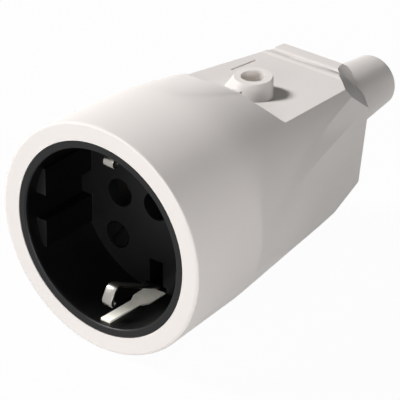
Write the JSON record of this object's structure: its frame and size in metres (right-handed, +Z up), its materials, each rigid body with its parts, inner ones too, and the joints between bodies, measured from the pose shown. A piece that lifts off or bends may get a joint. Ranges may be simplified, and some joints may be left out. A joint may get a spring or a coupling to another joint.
{
  "type": "inline socket connector",
  "caption": "Earthed inline socket connector for a mains cord, with a round recess, sprung earth clips, a tapered white body and a cord sleeve.",
  "frame": {"origin": "centre of the round socket mouth, in the plane of the front face", "axes": "+Y runs from the socket mouth to the cord end, +X across to the right, +Z up through the fastening screw's boss"},
  "size_m": [0.0508, 0.0932, 0.0508],
  "materials": {
    "white_shell": "satin white",
    "white_sleeve": "satin white",
    "black_dish": "smooth black",
    "carrier_plastic": "moulded black",
    "brass": "plain",
    "spring_steel": "plain",
    "steel": "zinc plated",
    "floor_screw_steel": "zinc plated",
    "plated_strip": "nickel plated"
  },
  "bodies": {
    "root": {"housing": "white_shell", "cable_sleeve": "white_sleeve", "socket_dish": "black_dish", "terminal_base": "carrier_plastic", "contact_sleeve_left": "brass", "contact_sleeve_right": "brass", "sleeve_spring_left": "spring_steel", "sleeve_spring_right": "spring_steel", "terminal_block_left": "brass", "terminal_block_right": "brass", "terminal_screw_left": "steel", "terminal_screw_right": "steel", "earth_clip_top": "plated_strip", "earth_clip_bottom": "plated_strip", "earth_yoke": "plated_strip", "earth_terminal_block": "brass", "earth_terminal_screw": "steel", "face_screw_lower": "floor_screw_steel", "face_screw_upper": "floor_screw_steel", "housing_screw": "steel", "housing_nut": "steel", "cord_clamp_saddle": "carrier_plastic", "cord_clamp_screw_left": "steel", "cord_clamp_screw_right": "steel"}
  },
  "joints": []
}
